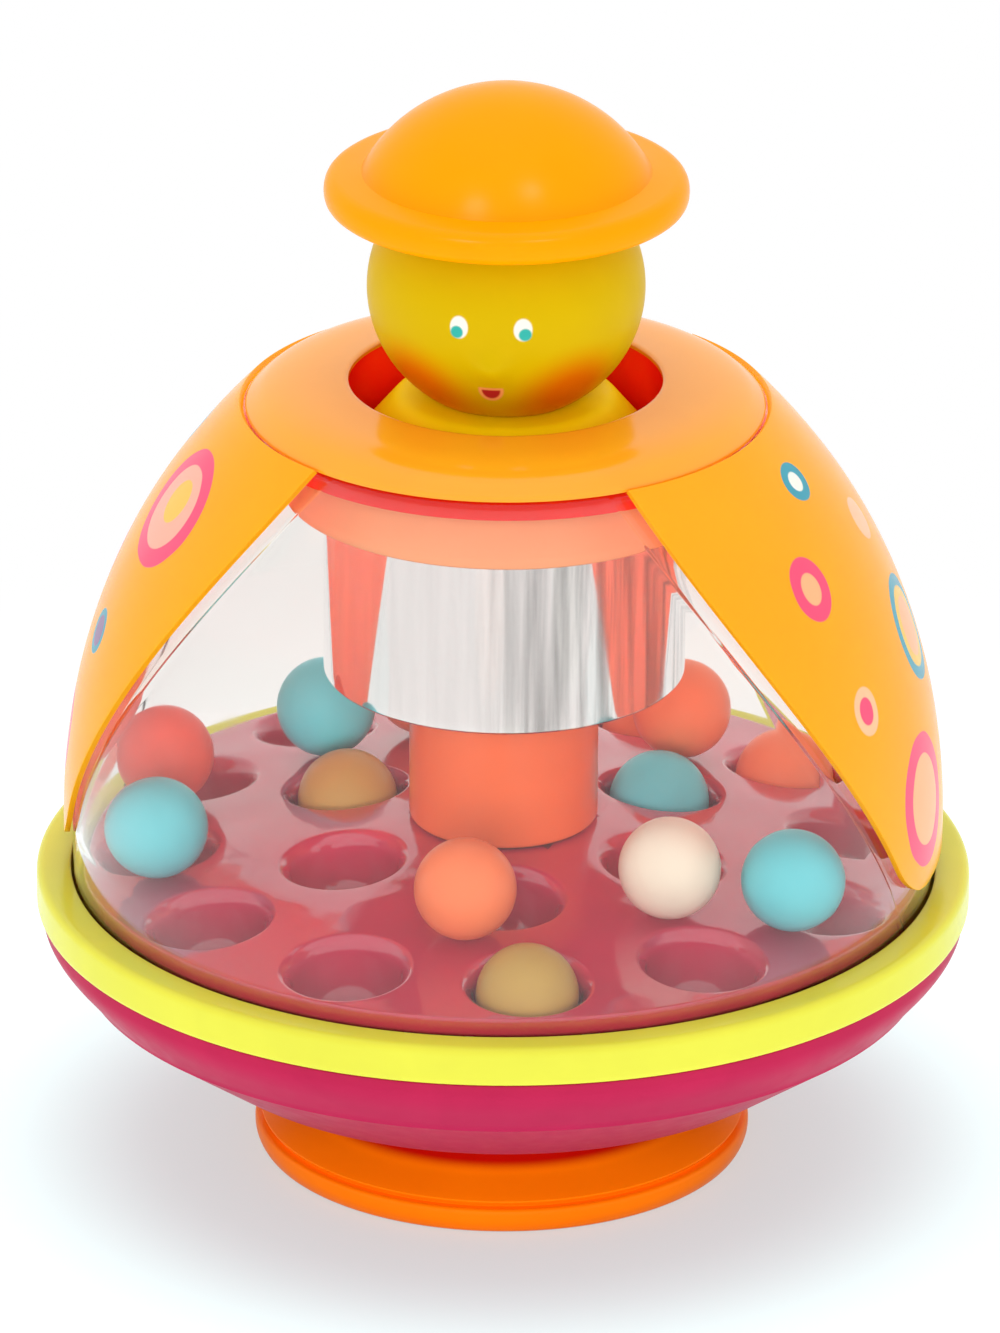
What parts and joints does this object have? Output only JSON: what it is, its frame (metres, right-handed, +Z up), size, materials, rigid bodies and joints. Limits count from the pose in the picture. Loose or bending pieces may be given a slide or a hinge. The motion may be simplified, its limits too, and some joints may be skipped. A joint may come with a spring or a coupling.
{
  "type": "push-down spinning top",
  "caption": "Push-down spinning top: a hatted head on a sprung plunger turns a cupped floor of loose balls under a clear dome, on a bowl with a suction foot.",
  "frame": {"origin": "on the spinning axis, in the plane where the suction foot meets the table", "axes": "+Z up along the spinning axis; the clear front window and the face look towards -Y, the side panels towards +X and -X"},
  "size_m": [0.204, 0.204, 0.2455],
  "materials": {
    "orange_plastic": "glossy moulded orange",
    "mustard_plastic": "satin mustard yellow with painted face",
    "amber_plastic": "glossy amber with printed rings",
    "red_plastic": "satin red-orange",
    "coral_plastic": "satin coral",
    "lemon_plastic": "glossy lemon yellow",
    "raspberry_plastic": "satin raspberry",
    "foot_rubber": "soft orange",
    "clear_plastic": "clear, polished",
    "mirror_finish": "bright mirror",
    "steel": "bright drawn steel",
    "white_plastic": "white bearing plastic",
    "ball_teal": "satin teal",
    "ball_cream": "satin cream",
    "ball_orange": "satin orange",
    "ball_olive": "satin olive",
    "ball_red": "satin red"
  },
  "bodies": {
    "base": {"suction_foot": "foot_rubber", "foot_washer": "steel", "foot_screw": "steel", "base_bowl": "raspberry_plastic", "rim_ring": "lemon_plastic", "clear_dome": "clear_plastic", "side_panel_left": "amber_plastic", "side_panel_right": "amber_plastic", "top_cap": "amber_plastic", "guide_sleeve": "red_plastic", "mirror_drum": "mirror_finish", "drum_base": "coral_plastic", "spring_seat": "steel", "bearing_post": "white_plastic", "post_screw_1": "steel", "post_screw_2": "steel", "post_screw_3": "steel", "thrust_washer": "steel"},
    "plunger": {"hat": "orange_plastic", "hat_screw": "steel", "head": "mustard_plastic", "shoulder_collar": "mustard_plastic", "stop_ring": "white_plastic", "rod_anchor": "white_plastic", "drive_rod": "steel", "return_spring": "steel"},
    "nut": {"clutch_nut": "white_plastic"},
    "spinner": {"turntable": "raspberry_plastic", "drive_hub": "coral_plastic", "hub_nut": "white_plastic", "clutch_cover": "coral_plastic", "ratchet_ring": "white_plastic", "bearing_bush": "white_plastic"},
    "ball_teal_1": {"ball_teal_1": "ball_teal"},
    "ball_teal_2": {"ball_teal_2": "ball_teal"},
    "ball_teal_3": {"ball_teal_3": "ball_teal"},
    "ball_teal_4": {"ball_teal_4": "ball_teal"},
    "ball_cream_1": {"ball_cream_1": "ball_cream"},
    "ball_cream_2": {"ball_cream_2": "ball_cream"},
    "ball_orange_1": {"ball_orange_1": "ball_orange"},
    "ball_orange_2": {"ball_orange_2": "ball_orange"},
    "ball_orange_3": {"ball_orange_3": "ball_orange"},
    "ball_orange_4": {"ball_orange_4": "ball_orange"},
    "ball_orange_5": {"ball_orange_5": "ball_orange"},
    "ball_olive_1": {"ball_olive_1": "ball_olive"},
    "ball_olive_2": {"ball_olive_2": "ball_olive"},
    "ball_red_1": {"ball_red_1": "ball_red"},
    "ball_red_2": {"ball_red_2": "ball_red"}
  },
  "joints": [
    {"name": "plunger_press", "type": "slide", "parent": "base", "child": "plunger", "axis": [0, 0, 1], "range_m": [-0.0357, 0], "stiffness_N_per_m": 250, "springref_m": 0.014, "deforming": ["return_spring"]},
    {"name": "nut_spin", "type": "hinge", "parent": "base", "child": "nut", "pos_m": [0, 0, 0.10395], "axis": [0, 0, 1], "range_deg": [0, 180]},
    {"name": "turntable_spin", "type": "hinge", "parent": "base", "child": "spinner", "pos_m": [0, 0, 0.0763], "axis": [0, 0, 1], "continuous": true},
    {"name": "ball_teal_1_hop", "type": "slide", "parent": "spinner", "child": "ball_teal_1", "axis": [0, 0, 1], "range_m": [0, 0.016]},
    {"name": "ball_teal_2_hop", "type": "slide", "parent": "spinner", "child": "ball_teal_2", "axis": [0, 0, 1], "range_m": [0, 0.016]},
    {"name": "ball_teal_3_hop", "type": "slide", "parent": "spinner", "child": "ball_teal_3", "axis": [0, 0, 1], "range_m": [0, 0.016]},
    {"name": "ball_teal_4_hop", "type": "slide", "parent": "spinner", "child": "ball_teal_4", "axis": [0, 0, 1], "range_m": [0, 0.016]},
    {"name": "ball_cream_1_hop", "type": "slide", "parent": "spinner", "child": "ball_cream_1", "axis": [0, 0, 1], "range_m": [0, 0.016]},
    {"name": "ball_cream_2_hop", "type": "slide", "parent": "spinner", "child": "ball_cream_2", "axis": [0, 0, 1], "range_m": [0, 0.016]},
    {"name": "ball_orange_1_hop", "type": "slide", "parent": "spinner", "child": "ball_orange_1", "axis": [0, 0, 1], "range_m": [0, 0.016]},
    {"name": "ball_orange_2_hop", "type": "slide", "parent": "spinner", "child": "ball_orange_2", "axis": [0, 0, 1], "range_m": [0, 0.016]},
    {"name": "ball_orange_3_hop", "type": "slide", "parent": "spinner", "child": "ball_orange_3", "axis": [0, 0, 1], "range_m": [0, 0.016]},
    {"name": "ball_orange_4_hop", "type": "slide", "parent": "spinner", "child": "ball_orange_4", "axis": [0, 0, 1], "range_m": [0, 0.016]},
    {"name": "ball_orange_5_hop", "type": "slide", "parent": "spinner", "child": "ball_orange_5", "axis": [0, 0, 1], "range_m": [0, 0.016]},
    {"name": "ball_olive_1_hop", "type": "slide", "parent": "spinner", "child": "ball_olive_1", "axis": [0, 0, 1], "range_m": [0, 0.016]},
    {"name": "ball_olive_2_hop", "type": "slide", "parent": "spinner", "child": "ball_olive_2", "axis": [0, 0, 1], "range_m": [0, 0.016]},
    {"name": "ball_red_1_hop", "type": "slide", "parent": "spinner", "child": "ball_red_1", "axis": [0, 0, 1], "range_m": [0, 0.016]},
    {"name": "ball_red_2_hop", "type": "slide", "parent": "spinner", "child": "ball_red_2", "axis": [0, 0, 1], "range_m": [0, 0.016]}
  ],
  "couplings": [
    {"joint": "nut_spin", "follows": "plunger_press", "rad_per_m": -87.266}
  ]
}
